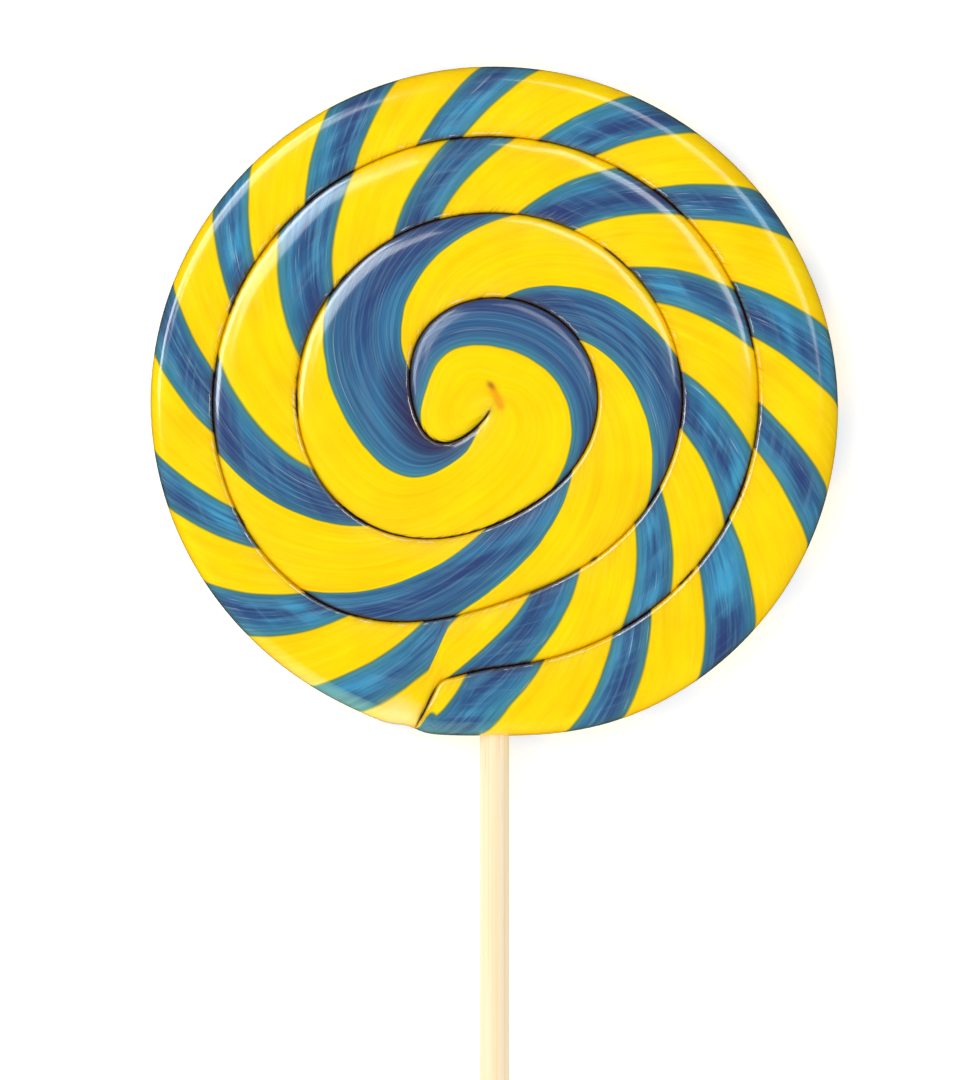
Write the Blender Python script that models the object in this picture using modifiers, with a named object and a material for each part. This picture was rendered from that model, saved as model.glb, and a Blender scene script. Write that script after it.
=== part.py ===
"""Swirl lollipop: a twisted rope of boiled sugar, coiled flat round its own first end, on a wooden stick.

The lollipop lies on its back with the shown face up. Units are metres and +Z is up. The back
lies in the plane z = 0 with the coil's eye over the origin, and the stick runs towards -Y.

Places on the coil are given by an angle, in degrees, and a radius. The angle starts at the
stick and grows clockwise as seen from above, and it keeps counting from turn to turn.
"""

import bisect
import math

import bmesh
import bpy
from mathutils import Vector, kdtree

NAME = "swirl_lollipop"
MM = 0.001

# The coil: its mean radius and its thickness, between the flats of both faces.
COIL_RADIUS = 49.5 * MM
COIL_THICKNESS = 9.0 * MM

# The rim isn't quite round. Each wave has an amplitude, a number of lobes and the angle of a lobe.
RIM_WAVES = (
    (0.52 * MM, 1, -9.0),
    (0.54 * MM, 2, -75.0),
    (0.14 * MM, 3, -41.0),
)
# Dents in the rim, and one swelling: each has a depth, an angle and the angle that it is spread over.
RIM_DENTS = (
    (0.80 * MM, 0.0, 15.7),  # flattened where the stick went in
    (-0.55 * MM, 13.0, 8.3),  # the rope's last end swells out
    (0.55 * MM, 15.0, 2.4),  # the notch past that end
)

# The seam between the turns keeps its radius over most of a turn and steps outwards near the
# stick. Each step has a rise, the angle of its middle and the angle that it is spread over.
SEAM_STEPS = (
    (10.7 * MM, 36.2, 15.0),  # round the rope's first end, which is folded in at the eye
    (4.55 * MM, 115.0, 31.0),  # the first turn grows to its full width
    (12.45 * MM, 382.6, 38.6),  # over the first end
    (11.25 * MM, 737.7, 25.6),  # the next turn steps out above it
    (2.6 * MM, 1087.0, 5.3),  # the last end narrows
    (8.2 * MM, 1092.5, 1.1),  # and is cut off bluntly, out to the rim
)
SEAM_SHIFT = (0.034, 82.0)  # the turns lie a little off centre: share of the radius, direction
SEAM_OVAL = (0.017, 75.5)  # and are a little oval: share of the radius, direction of the long axis
LAST_ANGLE = 1096.0

# The sections of the faces: a groove along the seam between two soft shoulders, and a round rim.
GROOVE_DEPTH = 1.3 * MM
SHOULDER_WIDTH = 2.4 * MM
RIM_ROUND_WIDTH = 3.8 * MM
EYE_FLAT_RADIUS = 1.5 * MM  # the groove starts outside this
EYE_FADE_WIDTH = 3.0 * MM  # and reaches its depth over this

# How finely the coil is drawn.
FULL_TURN = 360.0
SECTION_STEP = 6.0
END_SECTIONS = (9.0, 10.5, 11.3, 12.6, 13.3, 14.1, 15.5)  # more of them around the last end
FIRST_SEAM_ANGLE = 24.0  # the seam starts at the eye and is clear of it from here on
NARROWEST_SECTION = 2.0 * MM  # a narrower one has no points between its edges
SHOULDER_SHARE = 0.45  # of a section's width, which each shoulder may take up at most
INNER_OFFSETS = (0.0, 0.14, 0.42, 1.0)  # shares of the shoulder's width, from the inner edge
OUTER_OFFSETS = (1.0, 0.62, 0.3, 0.09, 0.0)  # and the same to the outer edge
SEAM_SAMPLE_STEP = 0.1

# The stick and its socket in the coil's edge.
STICK_DIAMETER = 4.3 * MM
STICK_LENGTH = 165.0 * MM
STICK_INSERTION = 35.0 * MM
STICK_CHAMFER = 0.3 * MM
SOCKET_CLEARANCE = 0.3 * MM
STICK_SIDES = 32
STICK_AXIS_HEIGHT = COIL_THICKNESS / 2

SUGAR_COLOUR = (1.0, 0.72, 0.0)
WOOD_COLOUR = (0.9, 0.72, 0.48)


def remove_all_objects():
    """Clear the startup objects."""
    for thing in list(bpy.data.objects):
        bpy.data.objects.remove(thing, do_unlink=True)


def new_collection(name):
    """Add a collection to the scene."""
    collection = bpy.data.collections.new(name)
    bpy.context.scene.collection.children.link(collection)
    return collection


def new_material(name, colour, roughness):
    """Make a plain Principled material."""
    material = bpy.data.materials.new(name)
    material.use_nodes = True
    shader = material.node_tree.nodes["Principled BSDF"]
    shader.inputs["Base Color"].default_value = (*colour, 1.0)
    shader.inputs["Roughness"].default_value = roughness
    shader.inputs["Metallic"].default_value = 0.0
    return material


def smooth_step(value):
    """Rise from 0, well below zero, to 1, well above it."""
    return 0.5 * (1.0 + math.tanh(value))


def bump(offset, width):
    """A bell that is 1 in the middle and fades out past its width."""
    return math.exp(-((offset / width) ** 2))


def quarter_round(distance, width):
    """The height of a quarter ellipse, from 0 at its edge to 1 at its full width."""
    share = min(max(distance / width, 0.0), 1.0)
    return math.sqrt(1.0 - (1.0 - share) ** 2)


def wrapped(angle):
    """The same direction between -180 and 180 degrees."""
    return (angle + FULL_TURN / 2) % FULL_TURN - FULL_TURN / 2


def rim_radius(angle):
    """The radius of the coil's outline."""
    waves = sum(size * math.cos(lobes * math.radians(angle - at)) for size, lobes, at in RIM_WAVES)
    dents = sum(depth * bump(wrapped(angle - at), width) for depth, at, width in RIM_DENTS)
    return COIL_RADIUS + waves - dents


def seam_radius(angle):
    """The radius of the seam, which ends at the rim."""
    steps = sum(rise * smooth_step((angle - at) / spread) for rise, at, spread in SEAM_STEPS)
    shift = SEAM_SHIFT[0] * math.cos(math.radians(angle - SEAM_SHIFT[1]))
    oval = SEAM_OVAL[0] * math.cos(2 * math.radians(angle - SEAM_OVAL[1]))
    return min(steps * (1.0 + shift + oval), rim_radius(angle))


def place(angle, radius):
    """The point at an angle and a radius, in the plane of the coil."""
    turn = math.radians(angle)
    return Vector((-radius * math.sin(turn), -radius * math.cos(turn), 0.0))


def seam_tree():
    """A search tree of closely spaced points along the seam."""
    count = round((LAST_ANGLE - FIRST_SEAM_ANGLE) / SEAM_SAMPLE_STEP)
    tree = kdtree.KDTree(count)
    for index in range(count):
        angle = FIRST_SEAM_ANGLE + index * SEAM_SAMPLE_STEP
        tree.insert(place(angle, seam_radius(angle)), index)
    tree.balance()
    return tree


def face_height(angle, radius, seam_distance):
    """The height of a face above the coil's middle plane."""
    fade = min(max((radius - EYE_FLAT_RADIUS) / EYE_FADE_WIDTH, 0.0), 1.0)
    groove = GROOVE_DEPTH * fade * (1.0 - quarter_round(seam_distance, SHOULDER_WIDTH))
    edge = quarter_round(rim_radius(angle) - radius, RIM_ROUND_WIDTH)
    return (COIL_THICKNESS / 2 - groove) * edge


def section_angles():
    """The angles of the sections, the same in every turn so that neighbouring turns share points."""
    regular = [index * SECTION_STEP for index in range(round(FULL_TURN / SECTION_STEP))]
    return sorted(regular + list(END_SECTIONS))


def slant(angle):
    """How much wider the seam's shoulder is along the radius than square to the seam."""
    step = 0.5
    rise = seam_radius(angle + step) - seam_radius(angle - step)
    run = seam_radius(angle) * math.radians(2 * step)
    return math.hypot(rise, run) / run


def column_radii(inner, outer, inner_width, outer_width):
    """The radii of one section's points between its two edges."""
    widest = SHOULDER_SHARE * (outer - inner)
    rising = [inner + share * min(inner_width, widest) for share in INNER_OFFSETS]
    falling = [outer - share * min(outer_width, widest) for share in OUTER_OFFSETS]
    return rising + falling


class CoilBuilder:
    """Builds the coil as one rope whose turns share the points of their seam."""

    def __init__(self):
        self.mesh = bmesh.new()
        self.tree = seam_tree()
        self.turn = section_angles()
        self.edge_points = {}

    def angle(self, index):
        """The angle of a section, counted on from turn to turn."""
        turns, place_in_turn = divmod(index, len(self.turn))
        return turns * FULL_TURN + self.turn[place_in_turn]

    def section_index(self, angle):
        """The first section at or after an angle."""
        turns = math.floor(angle / FULL_TURN)
        return turns * len(self.turn) + bisect.bisect_left(self.turn, angle - turns * FULL_TURN)

    def pair(self, angle, radius, seam_distance):
        """A point of the upper face and the one below it, or the same one twice on the rim."""
        point = place(angle, radius)
        height = face_height(angle, radius, seam_distance)
        middle = COIL_THICKNESS / 2
        upper = self.mesh.verts.new((point.x, point.y, middle + height))
        if height < 1e-7:
            return upper, upper
        return upper, self.mesh.verts.new((point.x, point.y, middle - height))

    def edge_pair(self, index):
        """The points of the seam, or of the rim past the seam's end, at a section."""
        angle = self.angle(index)
        if angle < FIRST_SEAM_ANGLE:
            key, radius = "eye", 0.0
        elif angle > LAST_ANGLE:
            key, radius = ("rim", index % len(self.turn)), rim_radius(angle)
        else:
            key, radius = index, seam_radius(angle)
            if radius >= rim_radius(angle):
                key = ("rim", index % len(self.turn))
        if key not in self.edge_points:
            self.edge_points[key] = self.pair(angle, radius, 0.0)
        return self.edge_points[key]

    def section(self, index):
        """All the points of the rope at one section, from its inner to its outer edge."""
        inner = self.edge_pair(index)
        outer = self.edge_pair(index + len(self.turn))
        angle = self.angle(index)
        inner_radius = inner[0].co.xy.length
        outer_radius = outer[0].co.xy.length
        if outer_radius - inner_radius < NARROWEST_SECTION:
            return [inner] * len(INNER_OFFSETS) + [outer] * len(OUTER_OFFSETS)
        inner_width = SHOULDER_WIDTH * slant(angle) if inner_radius else SHOULDER_WIDTH
        outer_width = SHOULDER_WIDTH * slant(angle + FULL_TURN)
        if outer[0] is outer[1]:
            outer_width = RIM_ROUND_WIDTH
        between = []
        for radius in column_radii(inner_radius, outer_radius, inner_width, outer_width)[1:-1]:
            distance = self.tree.find(place(angle, radius))[2]
            between.append(self.pair(angle, radius, distance))
        return [inner, *between, outer]

    def join(self, section, following):
        """The faces between two neighbouring sections, on both sides of the coil."""
        for side in (0, 1):
            for column in range(len(section) - 1):
                corners = []
                for pair in (section[column], section[column + 1], following[column + 1], following[column]):
                    if pair[side] not in corners:
                        corners.append(pair[side])
                if len(corners) > 2:
                    self.mesh.faces.new(corners)

    def build(self):
        """The whole coil, from the eye to the last end."""
        first = self.section_index(FIRST_SEAM_ANGLE - FULL_TURN)
        last = self.section_index(LAST_ANGLE)
        previous = self.section(first)
        for index in range(first + 1, last + 1):
            current = self.section(index)
            self.join(previous, current)
            previous = current
        bmesh.ops.recalc_face_normals(self.mesh, faces=self.mesh.faces)
        data = bpy.data.meshes.new("candy_coil")
        self.mesh.to_mesh(data)
        self.mesh.free()
        data.shade_smooth()
        return data


def add_cylinder(name, diameter, start_y, end_y, collection):
    """A round bar along Y at the stick's height."""
    mesh = bmesh.new()
    length = end_y - start_y
    bmesh.ops.create_cone(
        mesh,
        cap_ends=True,
        segments=STICK_SIDES,
        radius1=diameter / 2,
        radius2=diameter / 2,
        depth=length,
    )
    data = bpy.data.meshes.new(name)
    mesh.to_mesh(data)
    mesh.free()
    bar = bpy.data.objects.new(name, data)
    bar.rotation_euler = (math.pi / 2, 0.0, 0.0)
    bar.location = (0.0, (start_y + end_y) / 2, STICK_AXIS_HEIGHT)
    collection.objects.link(bar)
    return bar


def add_coil(collection, cutters, material):
    """The coil of sugar rope, with a blind socket for the stick in its edge."""
    coil = bpy.data.objects.new("candy_coil", CoilBuilder().build())
    coil.data.materials.append(material)
    collection.objects.link(coil)
    rim = -rim_radius(0.0)
    bore = add_cylinder(
        "socket_cutter",
        STICK_DIAMETER + 2 * SOCKET_CLEARANCE,
        rim - 5 * MM,
        rim + STICK_INSERTION + SOCKET_CLEARANCE,
        cutters,
    )
    bore.hide_render = True
    bore.display_type = "WIRE"
    cut = coil.modifiers.new("socket", "BOOLEAN")
    cut.operation = "DIFFERENCE"
    cut.solver = "EXACT"
    cut.object = bore
    return coil


def add_stick(collection, material):
    """The plain round wooden stick, with both ends eased."""
    inner_end = STICK_INSERTION - rim_radius(0.0)
    stick = add_cylinder("wooden_stick", STICK_DIAMETER, inner_end - STICK_LENGTH, inner_end, collection)
    stick.data.materials.append(material)
    stick.data.shade_smooth()
    stick.data.set_sharp_from_angle(angle=math.radians(30))
    ease = stick.modifiers.new("eased_ends", "BEVEL")
    ease.width = STICK_CHAMFER
    ease.segments = 1
    ease.limit_method = "ANGLE"
    ease.angle_limit = math.radians(60)
    return stick


def main():
    """Build the lollipop."""
    remove_all_objects()
    parts = new_collection(NAME)
    cutters = new_collection(NAME + "_cutters")
    base = bpy.data.objects.new(NAME, None)
    parts.objects.link(base)
    sugar = new_material("boiled_sugar", SUGAR_COLOUR, 0.2)
    wood = new_material("pale_wood", WOOD_COLOUR, 0.6)
    for piece in (add_coil(parts, cutters, sugar), add_stick(parts, wood)):
        piece.parent = base


main()
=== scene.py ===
"""Swirl lollipop: the glossy two-colour sugar coil, its wooden stick, and the stage they lie on.

Units are metres and +Z is up. Places on the coil are given by an angle, in degrees, and a radius.
The angle starts at the stick and grows clockwise as seen from above, and it keeps counting from
turn to turn. The rope's section is given by v, from 0 at its inner edge to 1 at its outer edge.
"""

import math

import bmesh
import bpy
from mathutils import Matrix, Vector, noise


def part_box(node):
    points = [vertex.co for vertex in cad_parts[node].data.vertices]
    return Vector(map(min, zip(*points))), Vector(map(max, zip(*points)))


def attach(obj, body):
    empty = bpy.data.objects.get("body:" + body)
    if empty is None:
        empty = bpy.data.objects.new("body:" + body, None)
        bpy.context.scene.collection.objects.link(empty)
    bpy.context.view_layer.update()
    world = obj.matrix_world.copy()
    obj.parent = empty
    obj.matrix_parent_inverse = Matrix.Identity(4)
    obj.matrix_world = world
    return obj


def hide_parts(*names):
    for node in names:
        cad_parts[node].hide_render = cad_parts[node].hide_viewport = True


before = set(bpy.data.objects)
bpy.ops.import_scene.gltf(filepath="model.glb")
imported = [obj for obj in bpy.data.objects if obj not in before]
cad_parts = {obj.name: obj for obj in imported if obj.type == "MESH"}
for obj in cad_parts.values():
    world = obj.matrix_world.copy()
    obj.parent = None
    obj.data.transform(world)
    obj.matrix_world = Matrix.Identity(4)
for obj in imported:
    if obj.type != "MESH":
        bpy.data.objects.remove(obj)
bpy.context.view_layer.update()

bl_info = {
    "name": "Swirl Lollipop",
    "version": (1, 0, 0),
    "blender": (4, 5, 0),
    "location": "3D View > Sidebar > Lollipop",
    "description": "Makes the sugar coil and the wooden stick of a swirl lollipop, and lays them on a lit stage",
    "category": "Add Mesh",
}

MM = 0.001
STICK_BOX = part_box("wooden_stick")

# The rim isn't quite round. Each wave has an amplitude, a number of lobes and the angle of a lobe.
RIM_WAVES = (
    (0.52 * MM, 1, -9.0),
    (0.54 * MM, 2, -75.0),
    (0.14 * MM, 3, -41.0),
)
# Dents in the rim, and one swelling: each has a depth, an angle and the angle that it is spread over.
RIM_DENTS = (
    (0.80 * MM, 0.0, 15.7),  # flattened where the stick went in
    (-0.55 * MM, 13.0, 8.3),  # the rope's last end swells out
    (0.55 * MM, 15.0, 2.4),  # the notch past that end
)

# The seam between the turns keeps its radius over most of a turn and steps outwards near the
# stick. Each step has a rise, the angle of its middle and the angle that it is spread over.
SEAM_STEPS = (
    (10.7 * MM, 36.2, 15.0),  # round the rope's first end, which is folded in at the eye
    (4.55 * MM, 115.0, 31.0),  # the first turn grows to its full width
    (12.45 * MM, 382.6, 38.6),  # over the first end
    (11.25 * MM, 737.7, 25.6),  # the next turn steps out above it
    (2.6 * MM, 1087.0, 5.3),  # the last end narrows
    (8.2 * MM, 1092.5, 1.1),  # and is cut off bluntly, out to the rim
)
SEAM_SHIFT = (0.034, 82.0)  # the turns lie a little off centre: share of the radius, direction
SEAM_OVAL = (0.017, 75.5)  # and are a little oval: share of the radius, direction of the long axis
FIRST_SEAM_ANGLE = 24.0
LAST_ANGLE = 1096.0

# The rows across the rope stand closer together where it is cut off.
FULL_TURN = 360.0
CLOSE_ROWS_ANGLE = 11.0
CLOSE_ROWS_GAIN = 5.6
CLOSE_ROWS_WIDTH = 0.02  # of a turn
FIRST_ROW = -0.95  # in turns from there
TURNS_OF_ROWS = 3.98
TOUCHING = 0.0005 * MM  # points this close to an edge count as on it
RIM_FULL_ANGLE = 95.0  # the rim is rounded least here, and most across from it

# The rope's twist, in stripes, against its length. Two stripes, a wide and a narrow one, go round it.
TWIST_START = 0.505
SLOW_TWIST = (20.8, 59.0 * MM, 10.3 * MM)  # stripes for each metre, from this length on, softened
FAST_TWIST = (28.2, 233.4 * MM, 23.0 * MM)  # and this many more from here on
TWIST_WAVES = ((0.0206, 1, 54.0), (0.0094, 2, 41.8))
TWIST_DIPS = (
    (0.3465, -160.3, 117.0),  # the first blue strand leans into the eye
    (0.03, -262.0, 25.0),  # and reaches a little further along its seam
    (-0.075, 42.0, 26.0),  # the rope was folded here
    (0.149, 744.8, 17.8),  # and pulled a little where it steps out
)
FOLD = (50.3 * MM, 38.0 * MM, 0.20)  # the second strand's rounded tip: its length, bend and middle
STRIPE_LEAN = 0.557  # stripes that the rope's face crosses between its edges
HIDDEN_LEAN = 1.0 - STRIPE_LEAN  # and that each of its sides hides
RIM_TURN = 4.0  # how late the stripes turn over the rim
END_MIDDLE = 0.55  # over the rope's last bit the stripes lean less on both sides of this place
END_OUTER = (0.17, 1070.0, 1078.0)  # by this much outside it, setting in between these angles
END_INNER = (0.29, 1078.0, 1086.0)  # and by this much inside it
END_BEND = (1090.4, 0.07)  # the last one bends along the cut: from this angle, for each degree
END_BEND_PLACE = 0.4  # and so much at this place across the rope, less inside it
WIDE_HALF = 0.2373
NARROW_HALF = 0.1859
NARROW_SHIFT = -0.036


class Value:
    """A number in a node tree. Python's operators on it add the Math nodes that work out the result."""

    def __init__(self, nodes, socket):
        self.nodes = nodes
        self.socket = socket

    def math(self, operation, *others):
        sockets = dict(enumerate((self, *others)))
        return self.nodes.add("ShaderNodeMath", {"operation": operation}, sockets)

    def __add__(self, other):
        return self.math("ADD", other)

    __radd__ = __add__

    def __sub__(self, other):
        return self.math("SUBTRACT", other)

    def __rsub__(self, other):
        return (self * -1.0) + other

    def __mul__(self, other):
        return self.math("MULTIPLY", other)

    __rmul__ = __mul__

    def __truediv__(self, other):
        return self.math("DIVIDE", other)

    def __neg__(self):
        return self * -1.0

    def __abs__(self):
        return self.math("ABSOLUTE")

    def __lt__(self, other):
        return self.math("LESS_THAN", other)

    def __gt__(self, other):
        return self.math("GREATER_THAN", other)

    def least(self, other):
        return self.math("MINIMUM", other)

    def most(self, other):
        return self.math("MAXIMUM", other)

    def floor(self):
        return self.math("FLOOR")

    def fraction(self):
        return self.math("FRACT")

    def root(self):
        return self.math("SQRT")

    def power(self, other):
        return self.math("POWER", other)

    def exponential(self):
        return self.math("EXPONENT")

    def logarithm(self):
        return self.math("LOGARITHM", math.e)

    def tanh(self):
        return self.math("TANH")

    def cosine(self):
        """The cosine of an angle in degrees."""
        return self.math("RADIANS").math("COSINE")

    def sine(self):
        """The sine of an angle in degrees."""
        return self.math("RADIANS").math("SINE")

    def clamp(self):
        """The number held between 0 and 1."""
        return self.most(0.0).least(1.0)

    def between(self, low, high):
        """0 below low, 1 above high, and a smooth rise between them."""
        share = ((self - low) / (high - low)).clamp()
        return share * share * (3.0 - 2.0 * share)


class Nodes:
    """Adds nodes to a tree."""

    def __init__(self, tree):
        self.tree = tree

    def add(self, kind, settings=None, sockets=None, output=0):
        """Add one node: its settings first, then its sockets' values or links. Returns an output."""
        node = self.tree.nodes.new(kind)
        for name, value in (settings or {}).items():
            if name == "stops":
                self.set_stops(node.color_ramp, value)
            else:
                setattr(node, name, value)
        for name, value in (sockets or {}).items():
            if isinstance(value, Value):
                self.tree.links.new(value.socket, node.inputs[name])
            else:
                node.inputs[name].default_value = value
        return Value(self, node.outputs[output]) if node.outputs else node

    def output(self, value, name):
        """Another output of the node that a value comes from."""
        return Value(self, value.socket.node.outputs[name])

    @staticmethod
    def set_stops(ramp, stops):
        """Give a colour ramp its stops."""
        while len(ramp.elements) < len(stops):
            ramp.elements.new(0.5)
        for element, (position, colour) in zip(ramp.elements, stops):
            element.position = position
            element.color = colour

    def vector(self, x, y, z=0.0):
        """A vector of three numbers."""
        return self.add("ShaderNodeCombineXYZ", sockets={"X": x, "Y": y, "Z": z})

    def parts(self, vector):
        """The three numbers of a vector."""
        x = self.add("ShaderNodeSeparateXYZ", sockets={"Vector": vector})
        return x, self.output(x, "Y"), self.output(x, "Z")


class ShaderNodes(Nodes):
    """Adds nodes to a material."""

    def attribute(self, name):
        """A vector that is kept on the mesh."""
        value = self.add("ShaderNodeAttribute", {"attribute_name": name})
        return self.output(value, "Vector")

    def place(self):
        """The place of a point in the object."""
        value = self.add("ShaderNodeTexCoord")
        return self.output(value, "Object")

    def noise(self, vector, scale, detail=2.0, roughness=0.5, distortion=0.0):
        """Soft noise between 0 and 1."""
        sockets = {
            "Vector": vector,
            "Scale": scale,
            "Detail": detail,
            "Roughness": roughness,
            "Distortion": distortion,
        }
        return self.add("ShaderNodeTexNoise", {"noise_dimensions": "3D"}, sockets)

    def ramp(self, factor, stops, interpolation="LINEAR"):
        """A colour along a row of stops."""
        node = self.add("ShaderNodeValToRGB", {"stops": stops}, {"Fac": factor})
        node.socket.node.color_ramp.interpolation = interpolation
        return node

    def mix(self, factor, first, second):
        """One colour laid over another."""
        sockets = {0: factor, 6: first, 7: second}
        return self.add("ShaderNodeMix", {"data_type": "RGBA"}, sockets, output=2)

    def patch(self, x, y, place):
        """A soft oval patch: 1 at its middle, and fading outwards."""
        (middle_x, middle_y), (width, height) = place[:2]
        across = (x - middle_x) / width
        up = (y - middle_y) / height
        return (-(across * across + up * up)).exponential()


def colour(red, green, blue):
    """The linear colour of 8-bit screen values."""
    shares = [value / 255 for value in (red, green, blue)]
    linear = [s / 12.92 if s <= 0.04045 else ((s + 0.055) / 1.055) ** 2.4 for s in shares]
    return (*linear, 1.0)


def new_material(name):
    """A Principled material: its nodes and its shader node."""
    material = bpy.data.materials.new(name)
    material.use_nodes = True
    shader = material.node_tree.nodes["Principled BSDF"]
    return material, ShaderNodes(material.node_tree), shader


def feed(nodes, shader, sockets):
    """Set or link the sockets of a shader."""
    for name, value in sockets.items():
        if isinstance(value, Value):
            nodes.tree.links.new(value.socket, shader.inputs[name])
        else:
            shader.inputs[name].default_value = value


class CoilTree(Nodes):
    """The Geometry Nodes tree that coils a twisted rope flat round its own first end."""

    def __init__(self, name):
        super().__init__(bpy.data.node_groups.new(name, "GeometryNodeTree"))
        self.tree.interface.new_socket("Geometry", in_out="OUTPUT", socket_type="NodeSocketGeometry")
        self.inputs = {}
        self.group_input = self.tree.nodes.new("NodeGroupInput")
        self.group_output = self.tree.nodes.new("NodeGroupOutput")

    def named_input(self, name, kind="NodeSocketFloat"):
        """Add an input of the whole tree."""
        item = self.tree.interface.new_socket(name, in_out="INPUT", socket_type=kind)
        self.inputs[name] = item.identifier
        return Value(self, self.group_input.outputs[name])

    def sample(self, geometry, value, index):
        """A number that belongs to one point of a geometry."""
        return self.add(
            "GeometryNodeSampleIndex",
            {"data_type": "FLOAT", "domain": "POINT", "clamp": True},
            {"Geometry": geometry, "Value": value, "Index": index},
        )

    def moved(self, geometry, position):
        """A geometry with its points put in place."""
        return self.add("GeometryNodeSetPosition", sockets={"Geometry": geometry, "Position": position})

    def stored(self, geometry, name, domain, value):
        """A geometry that keeps a vector, worked out at its points, on its points or corners."""
        at_points = {"data_type": "FLOAT_VECTOR", "domain": "POINT"}
        value = self.add("GeometryNodeFieldOnDomain", at_points, {"Value": value})
        settings = {"data_type": "FLOAT_VECTOR", "domain": domain}
        sockets = {"Geometry": geometry, "Name": name, "Value": value}
        return self.add("GeometryNodeStoreNamedAttribute", settings, sockets)

    def row_angle(self, row, rows_in_turn):
        """The angle of a row across the rope."""
        turns = row / rows_in_turn + FIRST_ROW
        whole = (turns + 0.5).floor()
        share = turns - whole
        gain = CLOSE_ROWS_GAIN
        spread = share * (FULL_TURN + 2 * gain) - (share / CLOSE_ROWS_WIDTH).tanh() * gain
        return spread + whole * FULL_TURN + CLOSE_ROWS_ANGLE

    def rim_radius(self, angle, radius):
        """The radius of the coil's outline."""
        for size, lobes, at in RIM_WAVES:
            radius = radius + ((angle - at) * lobes).cosine() * size
        for depth, at, width in RIM_DENTS:
            wrapped = ((angle - at) / FULL_TURN + 0.5).fraction() * FULL_TURN - FULL_TURN / 2
            radius = radius - (-((wrapped / width).power(2.0))).exponential() * depth
        return radius

    def seam_radius(self, angle, rim):
        """The radius of the rope's inner edge: the eye, then the seam, and past its end the rim."""
        steps = ((angle - SEAM_STEPS[0][1]) / SEAM_STEPS[0][2]).tanh() * (SEAM_STEPS[0][0] / 2)
        for rise, at, spread in SEAM_STEPS[1:]:
            steps = steps + ((angle - at) / spread).tanh() * (rise / 2)
        steps = steps + sum(rise for rise, at, spread in SEAM_STEPS) / 2
        shift = (angle - SEAM_SHIFT[1]).cosine() * SEAM_SHIFT[0]
        oval = ((angle - SEAM_OVAL[1]) * 2.0).cosine() * SEAM_OVAL[0]
        past_end = (angle > LAST_ANGLE) * 0.1
        return (steps * (shift + oval + 1.0) + past_end).least(rim) * (angle > FIRST_SEAM_ANGLE)

    def twist(self, angle, length):
        """How far the rope is twisted at an angle and a length along it, in stripes."""
        result = TWIST_START
        for rate, start, softness in (SLOW_TWIST, FAST_TWIST):
            softened = (((length - start) / softness).exponential() + 1.0).logarithm()
            result = softened * (rate * softness) + result
        for size, lobes, at in TWIST_WAVES:
            result = ((angle - at) * lobes).cosine() * size + result
        for depth, at, width in TWIST_DIPS:
            result = result - (-(((angle - at) / width).power(2.0))).exponential() * depth
        return result

    def quarter_round(self, distance, width, fullness=2.0):
        """The height of a quarter ellipse, or a fuller curve, from 0 at its edge to 1 at its full width."""
        share = ((distance - TOUCHING) / width).clamp()
        return (1.0 - (1.0 - share).power(fullness)).power(1.0 / fullness)

    def on_plane(self, angle, radius):
        """The place of an angle and a radius."""
        return self.vector(-(radius * angle.sine()), -(radius * angle.cosine()))

    def build(self):
        """Make the whole tree."""
        radius = self.named_input("Radius")
        thickness = self.named_input("Thickness")
        groove_depth = self.named_input("Groove depth")
        inner_shoulder = self.named_input("Inner shoulder")
        outer_shoulder = self.named_input("Outer shoulder")
        crown = self.named_input("Crown")
        rim_width = self.named_input("Rim width")
        rim_swing = self.named_input("Rim swing")
        unevenness = self.named_input("Unevenness")
        eye_radius = self.named_input("Eye radius")
        eye_fade = self.named_input("Eye fade")
        rows_in_turn = self.named_input("Rows in a turn", "NodeSocketInt")
        columns = self.named_input("Columns", "NodeSocketInt")
        material = self.named_input("Material", "NodeSocketMaterial")

        # A line with one point for each row and one turn more: the seam, at its radius.
        rows = (rows_in_turn * TURNS_OF_ROWS).floor()
        index = self.add("GeometryNodeInputIndex")
        line_sockets = {"Count": rows + rows_in_turn, "Offset": (MM, 0.0, 0.0)}
        line = self.add("GeometryNodeMeshLine", sockets=line_sockets)
        line_angle = self.row_angle(index, rows_in_turn)
        line_rim = self.rim_radius(line_angle, radius)
        seam = self.seam_radius(line_angle, line_rim)
        seam_line = self.moved(line, self.on_plane(line_angle, seam))
        off_seam = (line_angle < FIRST_SEAM_ANGLE) + (line_angle > LAST_ANGLE)
        seam_line = self.add(
            "GeometryNodeDeleteGeometry",
            {"domain": "POINT"},
            {"Geometry": seam_line, "Selection": off_seam},
        )

        # The rope's length up to each row, along the middle between its edges.
        outer_seam = self.sample(line, seam, index + rows_in_turn)
        middle_line = self.moved(line, self.on_plane(line_angle, (seam + outer_seam) * 0.5))
        middle_curve = self.add("GeometryNodeMeshToCurve", sockets={"Mesh": middle_line})
        spline = self.add("GeometryNodeSplineParameter")
        length_here = self.output(spline, "Length")

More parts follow.
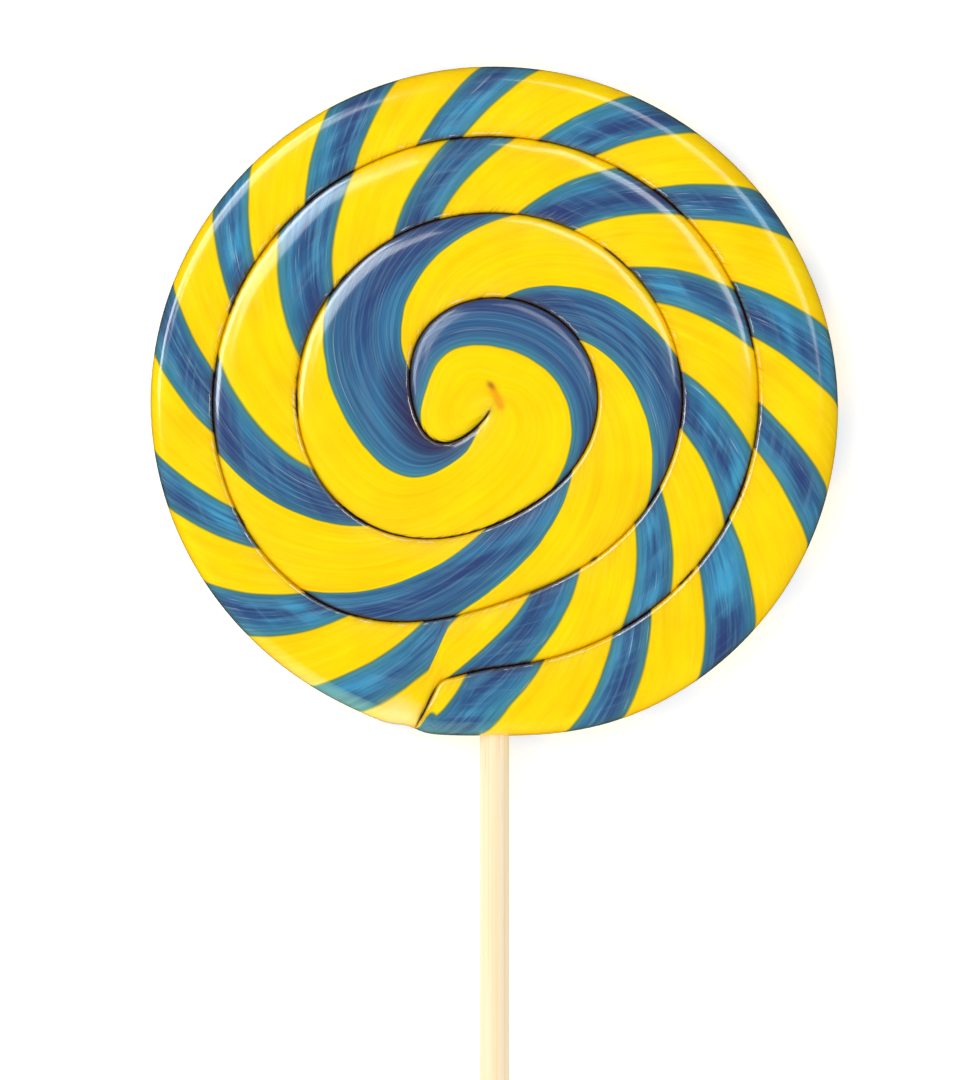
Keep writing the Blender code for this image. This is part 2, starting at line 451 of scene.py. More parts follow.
        # The upper face: a grid of rows across the rope, with its columns closer at both edges.
        grid = self.add("GeometryNodeMeshGrid", sockets={"Vertices X": rows, "Vertices Y": columns})
        row = ((index + 0.5) / columns).floor()
        column = index - row * columns
        even = column / (columns - 1.0)
        across = 0.5 - (even * 180.0).cosine() * 0.5
        first_row = row < 0.5
        across = across + first_row * ((across + 0.5).floor() - across)
        angle = self.sample(line, line_angle, row)
        inner = self.sample(line, seam, row)
        outer = self.sample(line, seam, row + rows_in_turn)
        rim = self.rim_radius(angle, radius)
        point_radius = inner + (outer - inner) * across
        flat = self.on_plane(angle, point_radius)
        near_seam = self.add(
            "GeometryNodeProximity",
            {"target_element": "EDGES"},
            {"Geometry": seam_line, "Sample Position": flat},
            output="Distance",
        )
        rim_distance = rim - point_radius
        fade = ((point_radius - eye_radius) / eye_fade).clamp()
        outer_side = across.between(0.35, 0.65)
        shoulder = inner_shoulder + (outer_shoulder - inner_shoulder) * outer_side
        deeper = self.add("ShaderNodeTexNoise", {}, {"Vector": flat, "Scale": 75.0, "Detail": 1.0})
        groove = groove_depth * (deeper + 0.5) * (1.0 - self.quarter_round(near_seam, shoulder))
        flank = ((inner - eye_radius) / (eye_fade * 2.0)).clamp().most(across > 0.5)
        dome = crown * (across * 2.0 - 1.0).power(2.0) * flank
        rim_round = rim_width - (angle - RIM_FULL_ANGLE).cosine() * rim_swing
        edge = self.quarter_round(rim_distance, rim_round, 3.0)
        uneven = self.add("ShaderNodeTexNoise", {}, {"Vector": flat, "Scale": 110.0, "Detail": 1.0})
        height = (thickness * 0.5 - groove.most(dome) * fade - uneven * unevenness) * edge

        # The twist, carried round the rim to the back, where the stripes lean the other way.
        length = self.sample(middle_curve, length_here, row)
        twist = self.twist(angle, length)
        lean = (across - 0.5) * STRIPE_LEAN
        round_rim = (1.0 - edge).power(RIM_TURN) * (HIDDEN_LEAN / 2)
        end_outer = (across - END_MIDDLE).most(0.0) * END_OUTER[0] * angle.between(*END_OUTER[1:])
        end_inner = (END_MIDDLE - across).most(0.0) * END_INNER[0] * angle.between(*END_INNER[1:])
        end_bend = (angle - END_BEND[0]).most(0.0) * END_BEND[1]
        end_bend = end_bend * (across / END_BEND_PLACE).least(1.2)
        end_turn = (end_outer - end_inner - end_bend) * edge
        x, y, unused = self.parts(flat)
        halves = []
        for side in (1.0, -1.0):
            stripe = twist - (lean + round_rim) * side - (1.0 - side) / 2 + end_turn * ((1.0 + side) / 2)
            half = self.stored(grid, "strand", "CORNER", self.vector(stripe, across, length))
            half = self.stored(half, "edges", "POINT", self.vector(near_seam, rim_distance))
            half = self.moved(half, self.vector(x, y, thickness * 0.5 + height * side))
            halves.append(half)
        halves[1] = self.add("GeometryNodeFlipFaces", sockets={"Mesh": halves[1]})

        join = self.tree.nodes.new("GeometryNodeJoinGeometry")
        for half in reversed(halves):
            self.tree.links.new(half.socket, join.inputs["Geometry"])
        closed = self.add(
            "GeometryNodeMergeByDistance",
            sockets={"Geometry": Value(self, join.outputs[0]), "Distance": 0.003 * MM},
        )
        smooth = self.add(
            "GeometryNodeSetShadeSmooth",
            {"domain": "FACE"},
            {"Geometry": closed, "Shade Smooth": True},
        )
        fold = self.add("GeometryNodeInputMeshEdgeAngle") > math.radians(50)
        creased = self.add(
            "GeometryNodeSetShadeSmooth",
            {"domain": "EDGE"},
            {"Geometry": smooth, "Selection": fold, "Shade Smooth": False},
        )
        real = self.add("GeometryNodeRealizeInstances", sockets={"Geometry": creased})
        finished = self.add("GeometryNodeSetMaterial", sockets={"Geometry": real, "Material": material})
        self.tree.links.new(finished.socket, self.group_output.inputs["Geometry"])
        return self


def grown_mesh(name, group, identifiers, values):
    """A plain mesh object from a Geometry Nodes tree and the values of its inputs."""
    seed = bpy.data.objects.new(name + "_growing", bpy.data.meshes.new(name + "_growing"))
    bpy.context.scene.collection.objects.link(seed)
    modifier = seed.modifiers.new("grow", "NODES")
    modifier.node_group = group
    for label, value in values.items():
        modifier[identifiers[label]] = value
    bpy.context.view_layer.update()
    evaluated = seed.evaluated_get(bpy.context.evaluated_depsgraph_get())
    mesh = bpy.data.meshes.new_from_object(evaluated)
    mesh.name = name
    bpy.data.objects.remove(seed, do_unlink=True)
    piece = bpy.data.objects.new(name, mesh)
    bpy.context.scene.collection.objects.link(piece)
    return piece


WIDE_STOPS = (
    (0.00, colour(66, 134, 150)),
    (0.18, colour(60, 130, 160)),
    (0.34, colour(54, 108, 150)),
    (0.50, colour(48, 84, 130)),
    (0.64, colour(48, 78, 124)),
    (0.80, colour(56, 104, 146)),
    (1.00, colour(64, 126, 150)),
)
NARROW_STOPS = (
    (0.00, colour(68, 124, 140)),
    (0.22, colour(58, 102, 138)),
    (0.42, colour(50, 88, 132)),
    (0.60, colour(56, 106, 148)),
    (0.80, colour(64, 130, 164)),
    (1.00, colour(74, 138, 152)),
)
EYE_STAIN = ((-0.6 * MM, 2.1 * MM), (1.5 * MM, -2.9 * MM), 0.85 * MM)  # its start, its reach, its width
REFLECTION_PATCH = ((-14.0 * MM, -46.0 * MM), (3.6 * MM, 3.0 * MM))  # a painted reflection: a pale patch beside the last end
PALE_RIM = ((-18.0 * MM, -42.0 * MM), (15.0 * MM, 9.0 * MM), 2.2 * MM)  # and a paler band along the rim there


def sugar_material(settings):
    """Glossy boiled sugar: yellow, with wide and narrow blue stripes that were pulled into fine streaks."""
    material, nodes, shader = new_material("Boiled sugar, yellow and blue")
    stripe, across, along = nodes.parts(nodes.attribute("strand"))
    seam, rim, unused = nodes.parts(nodes.attribute("edges"))
    place = nodes.place()
    x, y, z = nodes.parts(place)
    shown = z > 4.6 * MM

    # Fine streaks run along the stripes, where the sugar was pulled.
    first_turn = stripe < 4.1
    fibre = stripe + stripe.least(4.1) * 1.35
    streak_place = nodes.vector(fibre * 26.0, across * 1.3, along * 14.0)
    streak = nodes.noise(streak_place, 1.0, detail=4.0, roughness=0.7) - 0.5
    strand_place = nodes.vector(fibre * 8.0, across * 1.6, along * 9.0)
    strand = nodes.noise(strand_place, 1.0, detail=2.0) - 0.5
    scratch_place = nodes.vector(fibre * 70.0, across * 2.2, along * 16.0)
    scratch_and_glint = nodes.noise(scratch_place, 1.0, detail=1.0)
    cloud = nodes.noise(place, 130.0, detail=2.0) - 0.5
    band_place = nodes.vector(fibre * 1.5, across * 11.0, 0.0)
    bands = nodes.noise(band_place, 1.0, detail=2.0)

    # How far a point lies inside the nearest wide or narrow stripe.
    wavering = stripe + cloud * 0.03
    wide = ((wavering * 0.5).fraction() - 0.5) * (2.0 / WIDE_HALF)
    narrow_turn = ((wavering - NARROW_SHIFT) * 0.5 + 0.5).fraction()
    narrow = (narrow_turn - 0.5) * (2.0 / NARROW_HALF)
    inside_wide = (1.0 - abs(wide)) * WIDE_HALF
    inside_narrow = (1.0 - abs(narrow)) * NARROW_HALF
    inside = inside_wide.most(inside_narrow) * (first_turn * 1.35 + 1.0)
    tip = (across - FOLD[2]).power(2.0) * FOLD[1] + FOLD[0]
    tip_inside = (along - tip) / (22.0 * MM)
    inside = inside.least(tip_inside.most((stripe < 0.5) * 2.0 - 1.0))
    blue = (inside / 0.016 + 0.5).clamp()
    in_wide = inside_wide > inside_narrow

    shift = strand * 0.35 + streak * 0.2
    blues = nodes.mix(
        in_wide,
        nodes.ramp(narrow * 0.5 + 0.5 + shift, NARROW_STOPS),
        nodes.ramp(wide * 0.5 + 0.5 + shift, WIDE_STOPS),
    )
    tone_place = nodes.vector((stripe + 0.5).floor() * 3.7, across * 1.9, along * 12.0)
    tone = nodes.noise(tone_place, 1.0, detail=2.0) + strand * 0.35 + streak * 0.3
    depth = (inside / 0.16).clamp()
    blues = nodes.mix(tone.between(0.46, 0.76) * depth, blues, settings.light_blue)
    blues = nodes.mix((1.0 - tone).between(0.46, 0.80) * depth, blues, settings.deep_blue)
    # Painted reflection: milky lighter bands across the blue stand in for light reflected inside the clear
    # sugar.
    blues = nodes.mix(bands.between(0.48, 0.72) * depth * 0.35, blues, settings.inner_reflection_blue)
    old = ((7.0 - stripe) / 7.0).clamp() * depth
    blues = nodes.mix(old * 0.62, blues, settings.deep_blue)
    blues = nodes.mix((streak * 3.0).clamp() * 0.7, blues, settings.pale_streak)
    blues = nodes.mix((streak * -3.0).clamp() * 0.7, blues, settings.deep_blue)
    teal = (1.0 - inside / 0.06).clamp() * 0.5
    blues = nodes.mix(teal, blues, settings.teal)

    yellows = nodes.mix((strand * 1.6 + cloud * 1.4 + 0.45).clamp(), settings.yellow, settings.warm_yellow)
    yellows = nodes.mix((streak * 1.4).clamp(), yellows, settings.pale_yellow)
    yellows = nodes.mix((streak * -0.7).clamp(), yellows, settings.gold_streak_and_rim_shade)
    base = nodes.mix(blue, yellows, blues)
    olive = (1.0 - abs(inside - 0.002) / 0.022).clamp()
    base = nodes.mix(olive * 0.65, base, settings.olive)
    fine = scratch_and_glint.between(0.68, 0.80)
    base = nodes.mix(fine * (blue * 0.35 + 0.03), base, settings.scratch_and_glint)

    # The stain that the folded end left in the eye, a painted reflection beside the last end, and the paler rim
    # there.
    (start_x, start_y), (reach_x, reach_y), stain_width = EYE_STAIN
    reach = math.hypot(reach_x, reach_y)
    from_x = x - start_x + cloud * 1.5 * MM
    from_y = y - start_y
    share = ((from_x * reach_x + from_y * reach_y) / reach**2).clamp()
    off_x = from_x - share * reach_x
    off_y = from_y - share * reach_y
    stain = (-((off_x * off_x + off_y * off_y) / stain_width**2)).exponential() * shown
    base = nodes.mix((stain * 1.2 + strand * 0.4).clamp() * stain * 0.85, base, settings.stain)
    pit_x = from_x - from_y * -0.5
    pit = (-((pit_x * pit_x * 2.0 + from_y * from_y) / (0.6 * MM) ** 2)).exponential() * shown
    base = nodes.mix(pit * 0.6, base, settings.shade_and_pit_brown)
    # Painted reflection: a pale patch on the face beside the last end.
    patch = nodes.patch(x, y, REFLECTION_PATCH) * shown
    patch = ((patch + strand * 0.4 + streak * 0.7) * 1.3 - 0.25).clamp() * (along < 0.5)
    base = nodes.mix(patch * 0.7, base, settings.pale_reflection)
    # The rim is paler along there, strongest at the outline.
    pale_rim = nodes.patch(x, y, PALE_RIM) * (1.0 - rim / PALE_RIM[2]).clamp().root() * shown
    pale_rim_colour = nodes.mix(blue, settings.pale_rim_yellow, settings.pale_rim_blue)
    base = nodes.mix((pale_rim * (1.0 + streak * 1.5)).clamp() * 0.75, base, pale_rim_colour)

    # The seam, in painted shade: soft and brown in the groove, amber between two yellow turns, a ragged
    # dark line at its bottom, short ticks along the streaks, and a broken painted highlight along its lip.
    grain = nodes.noise(place, 1700.0, detail=3.0, roughness=0.7) - 0.5
    patchy = nodes.noise(place, 190.0, detail=2.0)
    tick_place = nodes.vector(fibre * 55.0, across * 2.5, along * 150.0)
    ticks = nodes.noise(tick_place, 1.0, detail=2.0).between(0.50, 0.75)
    outer_side = across > 0.5
    eye_end = along < 60.0 * MM
    dark = blue.most(patchy.between(0.56, 0.68) * 0.7).most(eye_end)
    # Painted shade: the blue is darkened along the seam on the outer turn's side, round the folded end.
    hook_shade = (1.0 - seam / (5.0 * MM)).clamp() * (1.0 - outer_side) * blue
    hook_shade = hook_shade * (-(((along - 64.0 * MM) / (15.0 * MM)).power(2.0))).exponential()
    base = nodes.mix(hook_shade, base, settings.hook_shade_blue)
    # Painted shade beside the groove, reaching further on the outer turn's side of the seam.
    reach = (1.15 - outer_side * 0.60) * MM
    shade = ((1.0 - seam / reach) * 1.5).clamp() * (0.35 + ticks * 0.9).clamp()
    shade_colour = nodes.mix(blue, settings.seam_shade_amber, settings.shade_and_pit_brown)
    base = nodes.mix(shade * (0.80 - (1.0 - blue) * (outer_side * 0.30 + 0.25)), base, shade_colour)
    # A softer, narrower band of painted shade right at the seam.
    soft_width = (0.16 + patchy * 0.12 + blue * outer_side * 0.12 + ticks * 0.35) * MM
    soft_seam_shade = 1.0 - (seam / soft_width).between(0.4, 1.3)
    soft_shade_colour = nodes.mix(dark, settings.seam_shade_amber, settings.shade_and_pit_brown)
    base = nodes.mix(soft_seam_shade * (0.3 + dark * 0.6), base, soft_shade_colour)
    # The ragged dark line at the groove's bottom is painted shade too.
    line_width = (patchy * 0.12 + grain * 0.22 + ticks * 0.12 + dark * 0.08 - 0.02) * MM
    line = 1.0 - (seam / line_width.most(0.02 * MM)).between(0.6, 1.3)
    base = nodes.mix(line * dark, base, settings.groove_shade_dark)
    # Painted highlight: a broken bright glint along the lip of the groove, on the outer turn's side.
    seam_glint = 1.0 - abs(seam - (0.42 + grain * 0.5) * MM) / (0.07 * MM)
    glint_breaks = nodes.noise(place, 420.0, detail=1.0).between(0.52, 0.60)
    seam_glint = seam_glint.clamp() * glint_breaks * (1.0 - outer_side)
    base = nodes.mix(seam_glint * 0.8, base, settings.scratch_and_glint)

    # Towards the outline the colour is deepened: painted shade where the rounded rim turns away from the light.
    rim_shade = (1.0 - rim / (1.5 * MM)).clamp().power(1.4) * (1.0 - pale_rim)
    base = nodes.mix(rim_shade * blue * 0.60, base, settings.rim_shade_blue)
    base = nodes.mix(rim_shade * (1.0 - blue) * 0.50, base, settings.gold_streak_and_rim_shade)

    near_edge = (1.25 - seam.least(rim) / (3.5 * MM)).clamp()
    gloss = (near_edge * (0.6 + blue * 0.4)).most(blue * 0.3 + 0.03)
    dull_groove = outer_side * (1.0 - (seam / (0.45 * MM)).clamp())
    dull_eye = (along < 45.0 * MM) * 0.6
    rough = settings.roughness + streak * 0.5 + fine * 0.1 + grain * 0.05
    relief = nodes.add(
        "ShaderNodeBump",
        sockets={
            "Strength": 1.0,
            "Distance": 0.05 * MM,
            "Height": (streak * 1.6 + strand * 0.4) * (near_edge + 0.2) + cloud + grain * 0.06,
        },
    )
    feed(
        nodes,
        shader,
        {
            "Base Color": base,
            "Roughness": rough.most(0.06),
            "Normal": relief,
            "IOR": 1.5,
            "Specular IOR Level": 0.1,
            "Coat Weight": gloss * (1.0 - dull_groove) * (1.0 - dull_eye),
            "Coat Roughness": 0.12,
        },
    )
    return material


def wood_material(settings):
    """Plain sanded birch: pale, with fine lines along the grain."""
    material, nodes, shader = new_material("Pale sanded birch")
    place = nodes.place()
    x, y, z = nodes.parts(place)
    lines = nodes.noise(nodes.vector(x * 2300.0, y * 9.0, z * 2300.0), 1.0, detail=3.0, roughness=0.65)
    bands = nodes.noise(nodes.vector(x * 520.0, y * 3.0, z * 520.0), 1.0, detail=2.0)
    flecks = nodes.noise(nodes.vector(x * 2600.0, y * 70.0, z * 2600.0), 1.0, detail=1.0)
    base = nodes.mix(bands.between(0.35, 0.68), settings.pale_wood, settings.warm_wood)
    base = nodes.mix(lines.between(0.52, 0.72) * 0.65, base, settings.grain)
    base = nodes.mix(flecks.between(0.66, 0.74) * 0.35, base, settings.fleck)
    relief = nodes.add(
        "ShaderNodeBump",
        sockets={"Strength": 0.6, "Distance": 0.05 * MM, "Height": lines * -1.0 + bands * -0.5},
    )
    rough = 0.5 + lines * 0.25
    feed(nodes, shader, {"Base Color": base, "Roughness": rough, "Normal": relief, "IOR": 1.45})
    return material


def colour_property(name, description, value):
    """A colour that a user may change."""
    return bpy.props.FloatVectorProperty(
        name=name,
        description=description,
        default=value,
        size=4,
        min=0.0,
        max=1.0,
        subtype="COLOR",
    )


def length_property(name, description, value):
    """A length that a user may change."""
    return bpy.props.FloatProperty(
        name=name,
        description=description,
        default=value,
        min=0.0,
        unit="LENGTH",
    )


class CoilSettings(bpy.types.PropertyGroup):
    """The sizes of the sugar coil."""

    radius: length_property("Radius", "Mean radius of the coil", 49.48 * MM)
    thickness: length_property("Thickness", "Between the flats of both faces", 9.0 * MM)
    groove_depth: length_property("Groove depth", "Depth of the groove between the turns", 1.2 * MM)
    inner_shoulder: length_property("Inner shoulder", "Its rounding on the outer turn's side", 0.9 * MM)
    outer_shoulder: length_property("Outer shoulder", "Its rounding on the inner turn's side", 4.4 * MM)
    crown: length_property("Crown", "How far the rope's face falls from its middle to its edges", 0.3 * MM)
    rim_width: length_property("Rim width", "Mean width over which the rim is rounded", 3.9 * MM)
    rim_swing: length_property("Rim swing", "How much that width changes round the coil", 1.3 * MM)
    unevenness: length_property("Unevenness", "Depth of the slight hollows in the faces", 0.12 * MM)
    eye_radius: length_property("Eye radius", "The groove starts outside this radius", 1.5 * MM)
    eye_fade: length_property("Eye fade", "The groove reaches its depth over this width", 3.0 * MM)
    rows: bpy.props.IntProperty(
        name="Rows in a turn",
        description="Rows of faces in one turn of the rope",
        default=252,
        min=60,
        max=400,
    )
    columns: bpy.props.IntProperty(
        name="Columns",
        description="Points across the rope's face",
        default=34,
        min=8,
        max=40,
    )


class SugarSettings(bpy.types.PropertyGroup):
    """The colours and the gloss of the boiled sugar."""

    yellow: colour_property("Yellow", "The sugar between the stripes", colour(255, 224, 0))
    warm_yellow: colour_property("Warm yellow", "Its deeper places", colour(255, 203, 0))
    pale_yellow: colour_property("Pale yellow", "Its pale streaks", colour(255, 230, 6))
    # Gold for the darker streaks in the yellow, and painted shade at the outline.
    gold_streak_and_rim_shade: colour_property("Rim gold", "The yellow at the outline", colour(236, 172, 0))
    light_blue: colour_property("Light blue", "The clearer stripes", colour(66, 160, 202))
    deep_blue: colour_property("Deep blue", "The deeper stripes", colour(50, 62, 116))
    # Painted reflection: the milky bands in the blue.
    inner_reflection_blue: colour_property("Milky blue", "Cloudy bands in the blue", colour(106, 146, 176))
    pale_streak: colour_property("Pale streak", "Air pulled into the blue", colour(98, 160, 188))
    teal: colour_property("Teal", "The blue at its edges", colour(66, 140, 146))
    olive: colour_property("Olive", "Where blue and yellow meet", colour(84, 112, 44))
    # This white also draws the painted glint along the seams' lips.
    scratch_and_glint: colour_property("Scratch", "Fine scratches along the stripes", colour(222, 230, 235))
    stain: colour_property("Stain", "The stain in the eye", colour(244, 158, 0))
    # Painted reflection: the pale patch by the last end.
    pale_reflection: colour_property("Cloudy", "The cloudy patch by the last end", colour(253, 236, 160))
    # The paler band along the rim by the last end, in yellow and in blue.
    pale_rim_yellow: colour_property("Pale frost", "The yellow of the frosted rim", colour(254, 238, 140))
    pale_rim_blue: colour_property("Blue frost", "The blue of the frosted rim", colour(142, 206, 186))
    # The groove's colours are painted shade: its dark bottom, its brown in blue and its amber in yellow.
    groove_shade_dark: colour_property("Seam dark", "The groove's bottom", colour(36, 24, 34))
    # Painted shade round the folded end.
    hook_shade_blue: colour_property("Hook blue", "The blue round the folded end", colour(50, 36, 76))
    shade_and_pit_brown: colour_property("Seam brown", "The groove in blue", colour(78, 62, 50))
    seam_shade_amber: colour_property("Seam amber", "The groove in yellow", colour(206, 138, 0))
    # Painted shade: the blue at the outline.
    rim_shade_blue: colour_property("Rim blue", "The blue at the outline", colour(72, 98, 84))
    roughness: bpy.props.FloatProperty(
        name="Roughness",
        description="Mean roughness of the sugar",
        default=0.20,
        min=0.0,
        max=1.0,
        subtype="FACTOR",
    )


class StickSettings(bpy.types.PropertyGroup):
    """The size and the colours of the stick."""

    diameter: length_property("Diameter", "Diameter of the stick", STICK_BOX[1].x - STICK_BOX[0].x)
    chamfer: length_property("Chamfer", "How far its ends are eased", 0.3 * MM)
    pale_wood: colour_property("Pale wood", "The wood's ground colour", colour(255, 240, 208))
    warm_wood: colour_property("Warm wood", "Its warmer bands", colour(253, 230, 186))
    grain: colour_property("Grain", "The fine lines of the grain", colour(244, 208, 150))
    fleck: colour_property("Fleck", "Short darker flecks", colour(222, 176, 120))


class StageSettings(bpy.types.PropertyGroup):
    """The floor, the light and the camera."""

    floor_size: length_property("Floor size", "Side of the square floor", 4.0)
    floor_colour: colour_property("Floor colour", "The pale floor", (0.86, 0.86, 0.86, 1.0))
    lens: bpy.props.FloatProperty(
        name="Focal length",
        description="Focal length of the camera",
        default=0.135,
        min=0.02,
        unit="CAMERA",
    )


class LOLLIPOP_OT_coil(bpy.types.Operator):
    """Coil the twisted sugar rope"""

    bl_idname = "lollipop.coil"
    bl_label = "Sugar Coil"

    def execute(self, context):
        sizes = context.scene.lollipop_coil
        coil = CoilTree("Coiled rope").build()
        values = {
            "Radius": sizes.radius,
            "Thickness": sizes.thickness,
            "Groove depth": sizes.groove_depth,
            "Inner shoulder": sizes.inner_shoulder,
            "Outer shoulder": sizes.outer_shoulder,
            "Crown": sizes.crown,
            "Rim width": sizes.rim_width,
            "Rim swing": sizes.rim_swing,
            "Unevenness": sizes.unevenness,
            "Eye radius": sizes.eye_radius,
            "Eye fade": sizes.eye_fade,
            "Rows in a turn": sizes.rows,
            "Columns": sizes.columns,
            "Material": sugar_material(context.scene.lollipop_sugar),
        }
        piece = grown_mesh("sugar_coil", coil.tree, coil.inputs, values)
        if len(piece.data.polygons) < sizes.rows:
            raise RuntimeError("the coil's tree made no faces")
        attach(piece, "root")
        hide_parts("candy_coil")
        return {"FINISHED"}


STICK_SIDES = 64
STICK_RINGS = 120


class LOLLIPOP_OT_stick(bpy.types.Operator):
    """Turn the wooden stick"""

    bl_idname = "lollipop.stick"
    bl_label = "Wooden Stick"

    def execute(self, context):
        sizes = context.scene.lollipop_stick
        low, high = STICK_BOX
        centre = (low + high) / 2
        radius = sizes.diameter / 2
        ends = [0.0, 0.35, 0.75, 1.0]
        places = [(low.y + sizes.chamfer * share, radius - sizes.chamfer * (1 - share)) for share in ends]
        body = high.y - low.y - 2 * sizes.chamfer
        for ring in range(1, STICK_RINGS):
            places.append((low.y + sizes.chamfer + body * ring / STICK_RINGS, radius))
        places += [(high.y - (y - low.y), size) for y, size in reversed(places[: len(ends)])]
        mesh = bmesh.new()
        rings = [self.ring(mesh, centre, y, size, radius) for y, size in places]
        for first, second in zip(rings, rings[1:]):
            for side in range(STICK_SIDES):
                after = (side + 1) % STICK_SIDES
                mesh.faces.new((first[side], second[side], second[after], first[after]))
        mesh.faces.new(rings[0])
        mesh.faces.new(rings[-1])
        bmesh.ops.triangulate(mesh, faces=[face for face in mesh.faces if len(face.verts) > 4])
        bmesh.ops.recalc_face_normals(mesh, faces=mesh.faces)
        data = bpy.data.meshes.new("birch_stick")
        mesh.to_mesh(data)
        mesh.free()
        data.materials.append(wood_material(sizes))
        data.shade_smooth()
        data.set_sharp_from_angle(angle=math.radians(50))
        piece = bpy.data.objects.new("birch_stick", data)
        context.scene.collection.objects.link(piece)
        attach(piece, "root")
        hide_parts("wooden_stick")
        return {"FINISHED"}

    @staticmethod
    def ring(mesh, centre, y, size, radius):
        """One ring of points, with the slight flats and ridges that the cutters leave."""
        points = []
        for side in range(STICK_SIDES):
            turn = math.tau * side / STICK_SIDES
            across = Vector((math.cos(turn), 0.0, math.sin(turn)))
            ridge = noise.noise(Vector((across.x * 3.1, y * 12.0, across.z * 3.1)))
            worn = 0.04 * MM * (0.5 + 0.5 * ridge) * (size / radius)
            point = centre + across * (size - worn)
            points.append(mesh.verts.new((point.x, y, point.z)))
        return points


VIEW_HEIGHT = 157.2 * MM
VIEW_CENTRE = Vector((-0.66 * MM, -20.24 * MM, 4.5 * MM))
SENSOR = 0.036


LIGHT_DISTANCE = 1.0


def soft_box(name, angle, tilt, size, brightness, mirrored):
    """A soft box over the coil: the coil's angle that it stands at, and its tilt from straight above.

    The gloss mirrors some soft boxes, which light nothing else, and the others only light it evenly.
    """
    turn = math.radians(angle)
    lean = math.radians(tilt)
    light = bpy.data.lights.new(name, "AREA")
    light.shape = "RECTANGLE"
    light.size, light.size_y = size
    light.energy = brightness * math.pi * size[0] * size[1]
    lamp = bpy.data.objects.new(name, light)
    towards = Vector((-math.sin(turn) * math.sin(lean), -math.cos(turn) * math.sin(lean), math.cos(lean)))
    lamp.location = towards * LIGHT_DISTANCE
    lamp.rotation_euler = towards.to_track_quat("Z", "Y").to_euler()
    lamp.visible_diffuse = not mirrored
    lamp.visible_glossy = mirrored
    bpy.context.scene.collection.objects.link(lamp)
    return lamp


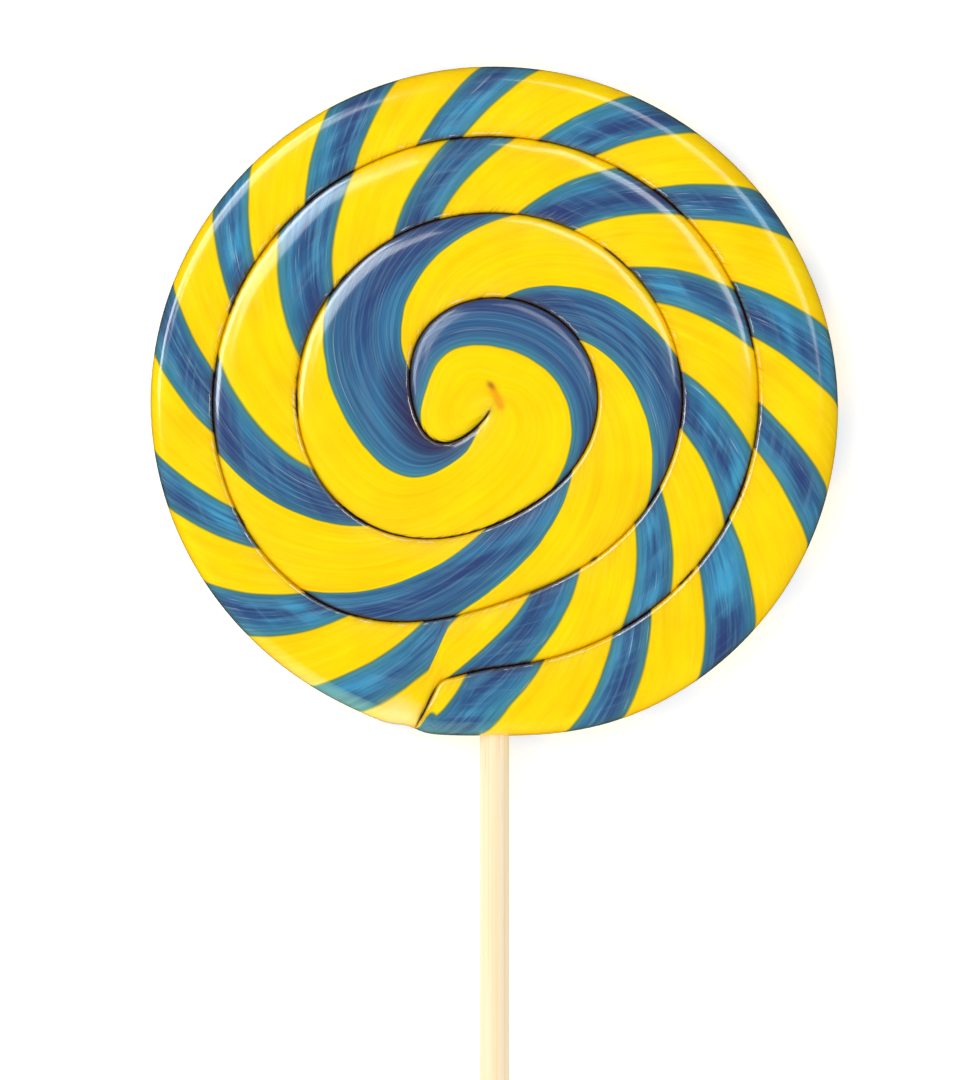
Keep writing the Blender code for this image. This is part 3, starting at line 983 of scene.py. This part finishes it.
class LOLLIPOP_OT_stage(bpy.types.Operator):
    """Lay the floor, set up the light and place the camera"""

    bl_idname = "lollipop.stage"
    bl_label = "Stage"

    def execute(self, context):
        settings = context.scene.lollipop_stage
        self.add_floor(context, settings)
        self.add_world(context)
        self.add_lights()
        self.add_camera(context, settings)
        context.scene.view_settings.view_transform = "Standard"
        return {"FINISHED"}

    @staticmethod
    def add_floor(context, settings):
        """A plain pale floor under the lollipop's back."""
        mesh = bmesh.new()
        bmesh.ops.create_grid(mesh, x_segments=8, y_segments=8, size=settings.floor_size / 2)
        data = bpy.data.meshes.new("floor")
        mesh.to_mesh(data)
        mesh.free()
        material, nodes, shader = new_material("Pale floor")
        feed(
            nodes,
            shader,
            {
                "Base Color": tuple(settings.floor_colour),
                "Roughness": 0.9,
                "Specular IOR Level": 0.2,
                "Emission Color": (1.0, 1.0, 1.0, 1.0),
                "Emission Strength": 0.35,
            },
        )
        data.materials.append(material)
        floor = bpy.data.objects.new("floor", data)
        floor.visible_glossy = False
        context.scene.collection.objects.link(floor)

    @staticmethod
    def add_world(context):
        """Soft white light from all round, brighter from below the stick, which the gloss doesn't mirror."""
        world = bpy.data.worlds.new("Studio")
        world.use_nodes = True
        context.scene.world = world
        nodes = ShaderNodes(world.node_tree)
        background = world.node_tree.nodes["Background"]
        direction = nodes.add("ShaderNodeTexCoord", sockets={})
        x, y, z = nodes.parts(nodes.output(direction, "Generated"))
        strength = 0.90 - y * 0.55 - x * 0.15
        nodes.tree.links.new(strength.socket, background.inputs["Strength"])
        background.inputs["Color"].default_value = (1.0, 1.0, 1.0, 1.0)
        world.cycles_visibility.glossy = False

    @staticmethod
    def add_lights():
        """A window-like pair of soft boxes to the upper left, one to the upper right, and the key light."""
        soft_box("key", 130.0, 45.0, (0.60, 0.60), 2.6, mirrored=False)
        soft_box("window_low", 122.0, 50.0, (0.90, 0.32), 14.0, mirrored=True)
        soft_box("window_high", 136.0, 30.0, (0.42, 0.34), 9.0, mirrored=True)
        soft_box("side_window", 222.0, 37.0, (0.84, 0.25), 8.5, mirrored=True)

    @staticmethod
    def add_camera(context, settings):
        """Look straight down on the shown face."""
        data = bpy.data.cameras.new("camera")
        data.sensor_width = SENSOR * 1000
        data.lens = settings.lens * 1000
        camera = bpy.data.objects.new("camera", data)
        distance = VIEW_HEIGHT / SENSOR * settings.lens
        camera.location = VIEW_CENTRE + Vector((0.0, 0.0, distance))
        data.clip_start = distance / 100
        data.clip_end = distance * 100
        context.scene.collection.objects.link(camera)
        context.scene.camera = camera


class LOLLIPOP_PT_sidebar(bpy.types.Panel):
    """The lollipop's pieces and settings"""

    bl_idname = "LOLLIPOP_PT_sidebar"
    bl_label = "Swirl Lollipop"
    bl_space_type = "VIEW_3D"
    bl_region_type = "UI"
    bl_category = "Lollipop"

    def draw(self, context):
        for operator, settings in STEPS:
            box = self.layout.box()
            box.operator(operator)
            for name in settings:
                group = getattr(context.scene, name)
                for item in group.bl_rna.properties:
                    if item.identifier not in ("rna_type", "name"):
                        box.prop(group, item.identifier)


STEPS = (
    ("lollipop.coil", ("lollipop_coil", "lollipop_sugar")),
    ("lollipop.stick", ("lollipop_stick",)),
    ("lollipop.stage", ("lollipop_stage",)),
)
GROUPS = {
    "lollipop_coil": CoilSettings,
    "lollipop_sugar": SugarSettings,
    "lollipop_stick": StickSettings,
    "lollipop_stage": StageSettings,
}
CLASSES = (
    *GROUPS.values(),
    LOLLIPOP_OT_coil,
    LOLLIPOP_OT_stick,
    LOLLIPOP_OT_stage,
    LOLLIPOP_PT_sidebar,
)


def register():
    """Make the classes and their settings known to Blender."""
    for kind in CLASSES:
        bpy.utils.register_class(kind)
    for name, kind in GROUPS.items():
        setattr(bpy.types.Scene, name, bpy.props.PointerProperty(type=kind))


def unregister():
    """Take them away again."""
    for name in GROUPS:
        delattr(bpy.types.Scene, name)
    for kind in reversed(CLASSES):
        bpy.utils.unregister_class(kind)


def main():
    """Make every piece and the stage."""
    register()
    bpy.ops.lollipop.coil()
    bpy.ops.lollipop.stick()
    bpy.ops.lollipop.stage()


if __name__ == "__main__":
    main()
